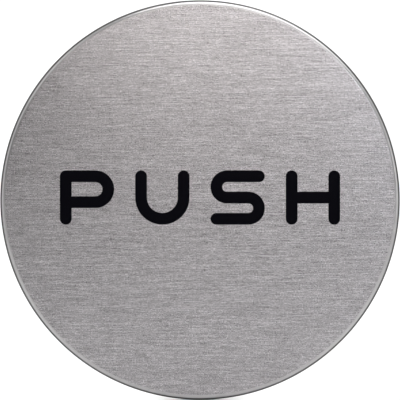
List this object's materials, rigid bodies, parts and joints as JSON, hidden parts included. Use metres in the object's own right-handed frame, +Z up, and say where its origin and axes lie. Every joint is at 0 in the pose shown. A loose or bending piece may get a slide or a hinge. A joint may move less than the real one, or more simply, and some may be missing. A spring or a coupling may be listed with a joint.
{
  "type": "door sign",
  "caption": "Round, flat door sign of brushed stainless steel with a rounded rim and a short printed word across its middle, on a self-adhesive foam pad with a peel-off liner.",
  "frame": {"origin": "centre of the flat back, on the outer face of the release liner", "axes": "+Z up as the sign hangs, +Y out of the back towards the door, +X to the right of someone who reads it"},
  "size_m": [0.065, 0.0023, 0.065],
  "materials": {
    "steel": "satin",
    "enamel": "satin",
    "adhesive": "gloss",
    "foam": "matte",
    "liner": "satin"
  },
  "bodies": {
    "sign": {"face_plate": "steel", "letter_p": "enamel", "letter_u": "enamel", "letter_s": "enamel", "letter_h": "enamel", "plate_adhesive": "adhesive", "foam_pad": "foam", "door_adhesive": "adhesive"},
    "liner_large": {"liner_large": "liner"},
    "liner_small": {"liner_small": "liner"}
  },
  "joints": [
    {"name": "liner_large_peel", "type": "hinge", "parent": "sign", "child": "liner_large", "pos_m": [-0.0305, -0.00012, 0], "axis": [0, 0, 1], "range_deg": [0, 150]},
    {"name": "liner_small_peel", "type": "hinge", "parent": "sign", "child": "liner_small", "pos_m": [0.0305, -0.00012, 0], "axis": [0, 0, -1], "range_deg": [0, 150]}
  ]
}
